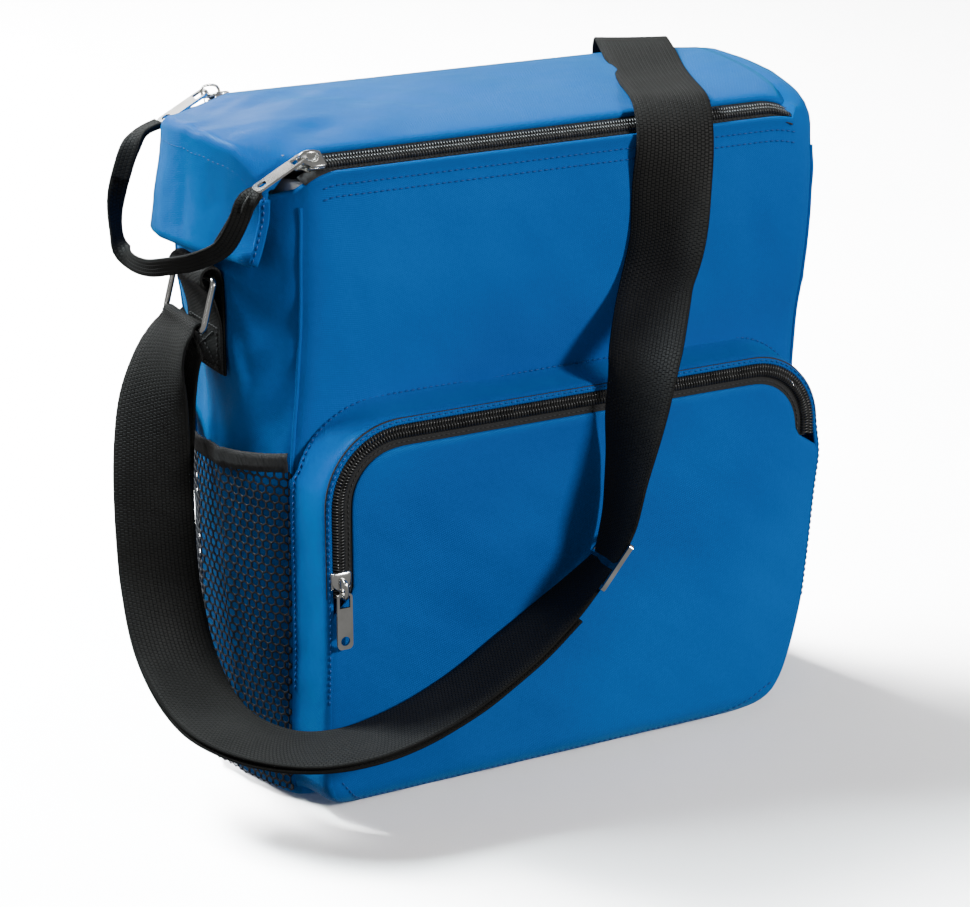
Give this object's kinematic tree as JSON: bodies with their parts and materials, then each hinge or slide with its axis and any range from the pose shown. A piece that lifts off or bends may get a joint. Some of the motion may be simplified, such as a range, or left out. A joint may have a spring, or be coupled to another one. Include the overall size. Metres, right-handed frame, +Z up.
{
  "type": "insulated cooler bag",
  "caption": "Soft insulated cooler bag with a zip-open lid, arched front pocket, side net pocket and adjustable webbing shoulder strap.",
  "frame": {"origin": "bottom centre of the bag's main body, on the surface it stands on", "axes": "+Z up, +X to the bag's right seen from the front, front pocket faces -Y"},
  "size_m": [0.3999, 0.2176, 0.3303],
  "materials": {
    "outer_fabric": "coated polyester twill with a soft sheen",
    "foam": "closed-cell polyethylene foam",
    "liner": "silver-white foil liner",
    "webbing": "ribbed polypropylene webbing",
    "zip_tape": "woven zip tape",
    "zip_coil": "nylon coil",
    "nickel": "polished nickel",
    "mesh": "hexagonal polyester net",
    "elastic": "woven elastic binding"
  },
  "bodies": {
    "bag": {"foam_back": "foam", "foam_base": "foam", "foam_front": "foam", "foam_left": "foam", "foam_right": "foam", "front_zip_coil_body": "zip_coil", "front_zip_tape_body": "zip_tape", "left_chape": "webbing", "lid_hinge_strip": "outer_fabric", "liner_tub": "liner", "mesh_pocket": "mesh", "mesh_pocket_hem": "elastic", "outer_back": "outer_fabric", "outer_base": "outer_fabric", "outer_front": "outer_fabric", "outer_left": "outer_fabric", "outer_right": "outer_fabric", "pocket_gusset": "outer_fabric", "pocket_panel": "outer_fabric", "pocket_zip_coil_inner": "zip_coil", "pocket_zip_coil_outer": "zip_coil", "pocket_zip_tape_inner": "zip_tape", "pocket_zip_tape_outer": "zip_tape", "rear_zip_coil_body": "zip_coil", "rear_zip_tape_body": "zip_tape", "right_chape": "webbing", "shoulder_strap": "webbing", "strap_adjuster": "nickel", "strap_return_layer": "webbing"},
    "lid": {"lid_panel": "outer_fabric", "lid_foam": "foam", "lid_liner": "liner", "lid_end_flap": "outer_fabric", "front_zip_tape_lid": "zip_tape", "front_zip_coil_lid": "zip_coil", "rear_zip_tape_lid": "zip_tape", "rear_zip_coil_lid": "zip_coil"},
    "front_slider": {"front_slider": "nickel"},
    "rear_slider": {"rear_slider": "nickel"},
    "zip_pull": {"front_pull_tab": "nickel", "rear_pull_tab": "nickel", "zip_pull_webbing": "webbing"},
    "pocket_slider": {"pocket_slider": "nickel"},
    "pocket_pull": {"pocket_pull_tab": "nickel"},
    "left_ring": {"left_ring": "nickel"},
    "right_ring": {"right_ring": "nickel"}
  },
  "joints": [
    {"name": "lid_hinge", "type": "hinge", "parent": "bag", "child": "lid", "pos_m": [0.131, -0.00043, 0.32098], "axis": [0, 0.9963, 0.0862], "range_deg": [0, 110], "deforming": ["shoulder_strap", "zip_pull_webbing"]},
    {"name": "front_slider_travel", "type": "slide", "parent": "bag", "child": "front_slider", "axis": [1, 0, 0], "range_m": [0, 0.2305]},
    {"name": "rear_slider_travel", "type": "slide", "parent": "bag", "child": "rear_slider", "axis": [1, 0, 0], "range_m": [0, 0.2305]},
    {"name": "zip_pull_swing", "type": "hinge", "parent": "front_slider", "child": "zip_pull", "pos_m": [-0.1349, -0.05564, 0.31671], "axis": [0, 0.9963, 0.0862], "range_deg": [0, 150.5]},
    {"name": "pocket_slider_travel", "type": "slide", "parent": "bag", "child": "pocket_slider", "axis": [0, 0, 1], "range_m": [0, 0.026]},
    {"name": "pocket_pull_swing", "type": "hinge", "parent": "pocket_slider", "child": "pocket_pull", "pos_m": [-0.1338, -0.08775, 0.1156], "axis": [1, 0, 0], "range_deg": [-125, 0]},
    {"name": "left_ring_swing", "type": "hinge", "parent": "bag", "child": "left_ring", "pos_m": [-0.165, 0.003, 0.254], "axis": [0, 1, 0], "range_deg": [-8, 75], "deforming": ["shoulder_strap", "strap_return_layer"]},
    {"name": "right_ring_swing", "type": "hinge", "parent": "bag", "child": "right_ring", "pos_m": [0.1616, 0.02682, 0.254], "axis": [0.225, -0.9744, 0], "range_deg": [-8, 75], "deforming": ["shoulder_strap"]}
  ],
  "couplings": [
    {"joint": "front_slider_travel", "follows": "lid_hinge", "m_per_rad": 0.1198},
    {"joint": "rear_slider_travel", "follows": "lid_hinge", "m_per_rad": 0.1198},
    {"joint": "zip_pull_swing", "follows": "lid_hinge", "ratio": 1.3636}
  ]
}
